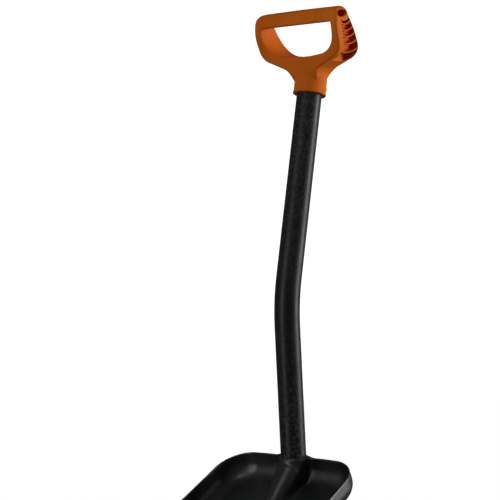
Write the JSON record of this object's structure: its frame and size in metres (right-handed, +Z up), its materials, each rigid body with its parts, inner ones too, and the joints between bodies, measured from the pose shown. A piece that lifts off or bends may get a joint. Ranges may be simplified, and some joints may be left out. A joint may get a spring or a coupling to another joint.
{
  "type": "avalanche shovel",
  "caption": "Compact snow shovel: bent round tube shaft, moulded D-shaped hand grip with ribbed sides, and a deep pan blade on a spigot that a snap button locks into the shaft.",
  "frame": {"origin": "centre of the grip's crossbar, where the hand holds the shovel", "axes": "+Z up along the standing shaft towards the grip, -Y the way the blade's tip points, X along the crossbar and across the blade's width; the object is symmetric about the plane X = 0"},
  "size_m": [0.206, 0.2818, 0.7134],
  "materials": {
    "black_tube": "satin",
    "orange_plastic": "satin",
    "rivet_metal": "satin",
    "black_blade": "satin",
    "bare_aluminium": "satin",
    "black_plastic": "matte",
    "button_steel": "satin",
    "spring_steel": "satin"
  },
  "bodies": {
    "shaft": {"shaft_tube": "black_tube", "grip": "orange_plastic", "grip_rivets": "rivet_metal"},
    "blade": {"blade": "black_blade", "spigot": "bare_aluminium", "spigot_plug": "black_plastic", "spigot_rivets": "rivet_metal", "lock_spring": "spring_steel"},
    "button": {"lock_button": "button_steel"}
  },
  "joints": [
    {"name": "blade_slide", "type": "slide", "parent": "shaft", "child": "blade", "axis": [0, 0.0797, -0.9968], "range_m": [0, 0.078], "deforming": ["lock_button"]},
    {"name": "button_press", "type": "slide", "parent": "blade", "child": "button", "axis": [0, -0.9968, -0.0797], "range_m": [0, 0.0052], "stiffness_N_per_m": 600, "springref_m": -0.002, "deforming": ["lock_spring"]}
  ]
}
